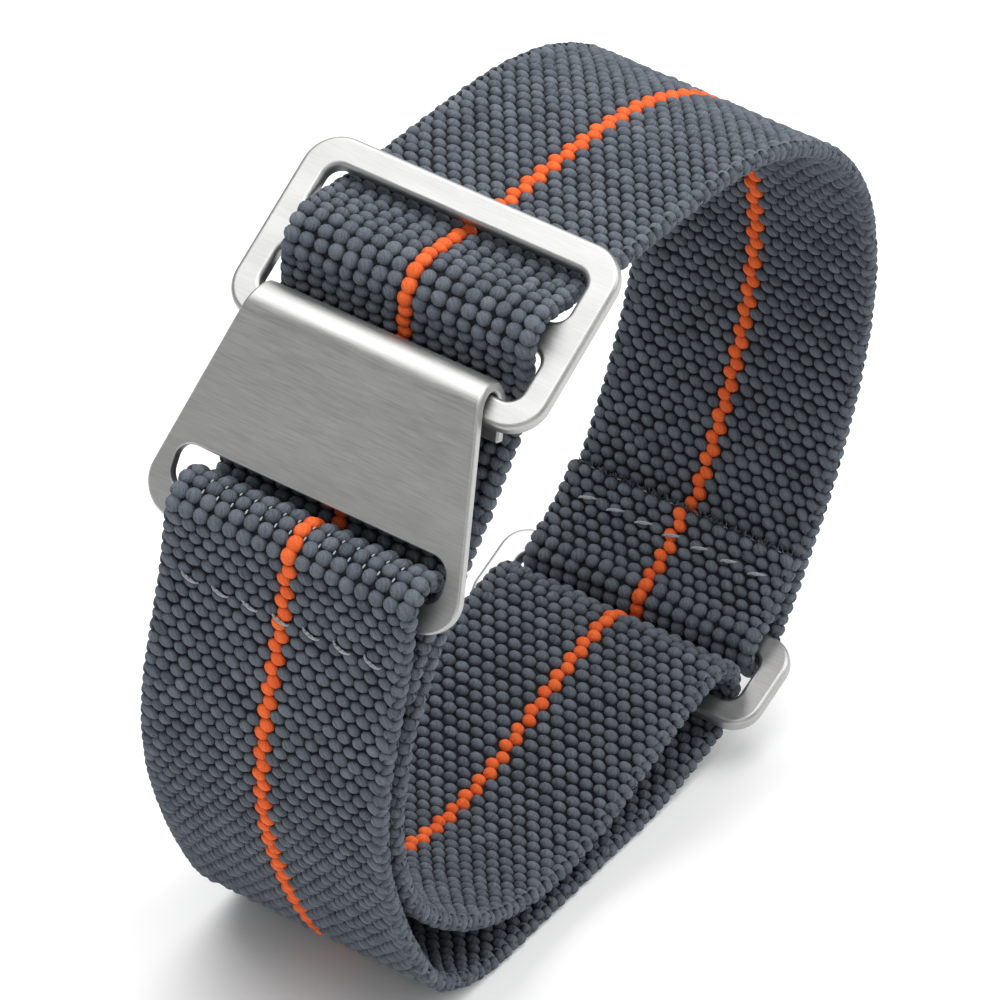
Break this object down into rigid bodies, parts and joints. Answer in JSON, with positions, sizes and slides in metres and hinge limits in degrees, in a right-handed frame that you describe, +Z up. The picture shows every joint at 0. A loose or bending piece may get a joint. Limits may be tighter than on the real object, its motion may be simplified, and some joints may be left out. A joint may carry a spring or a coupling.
{
  "type": "watch strap",
  "caption": "Braided elastic watch strap in slate with an orange centre line, buckled into a loop by a hook plate over a barred catch, with a slotted adjuster.",
  "frame": {"origin": "middle of the bounding box on the plane that the low run lies on", "axes": "+X across the loop from the hook to the adjuster, +Y across the band's width, +Z up"},
  "size_m": [0.0636, 0.0253, 0.0602],
  "materials": {
    "webbing": "slate braided elastic webbing",
    "orange_line": "bright orange woven warp line",
    "rubber_thread": "plain pale rubber thread",
    "stitching": "pale grey sewing thread",
    "brushed_metal": "satin brushed stainless steel"
  },
  "bodies": {
    "lower_band": {"outer_turn": "webbing", "outer_base": "webbing", "inner_turn": "webbing", "centre_line_lower": "orange_line", "elastic_cores_lower": "rubber_thread", "outer_front_lower": "webbing", "inner_front": "webbing", "centre_line_front": "orange_line", "elastic_cores_front": "rubber_thread", "back_run": "webbing", "centre_line_back": "orange_line", "elastic_cores_back": "rubber_thread", "outer_base_end": "webbing", "inner_base_end": "webbing", "centre_line_base_end": "orange_line", "elastic_cores_base_end": "rubber_thread", "back_low": "webbing", "centre_line_back_low": "orange_line", "elastic_cores_back_low": "rubber_thread"},
    "adjuster": {"adjuster_loop": "brushed_metal", "adjuster_turn": "webbing", "sewn_end_fold": "webbing", "adjuster_end_stitches": "stitching", "centre_line_adjuster": "orange_line", "elastic_cores_adjuster": "rubber_thread"},
    "catch": {"catch_buckle": "brushed_metal", "catch_weave": "webbing", "top_run": "webbing", "centre_line_catch": "orange_line", "elastic_cores_catch": "rubber_thread", "outer_front_upper": "webbing", "centre_line_hook_leg": "orange_line", "elastic_cores_hook_leg": "rubber_thread"},
    "hook": {"hook_plate": "brushed_metal", "hook_end_fold": "webbing", "hook_end_stitches": "stitching", "centre_line_hook": "orange_line", "elastic_cores_hook": "rubber_thread"}
  },
  "joints": [
    {"name": "strap_stretch", "type": "slide", "parent": "lower_band", "child": "catch", "axis": [0, 0, 1], "range_m": [0, 0.01], "stiffness_N_per_m": 400, "springref_m": -0.001, "deforming": ["outer_front_lower", "inner_front", "centre_line_front", "elastic_cores_front", "back_run", "centre_line_back", "elastic_cores_back"]},
    {"name": "hook_swing", "type": "hinge", "parent": "catch", "child": "hook", "pos_m": [-0.02053, 0, 0.0524], "axis": [0, 1, 0], "range_deg": [0, 8], "deforming": ["outer_front_upper", "centre_line_hook_leg", "elastic_cores_hook_leg"]},
    {"name": "adjuster_slide", "type": "slide", "parent": "lower_band", "child": "adjuster", "axis": [0.9781, 0, 0.2079], "range_m": [-0.004, 0.004], "deforming": ["outer_base_end", "inner_base_end", "centre_line_base_end", "elastic_cores_base_end", "back_low", "centre_line_back_low", "elastic_cores_back_low"]}
  ]
}
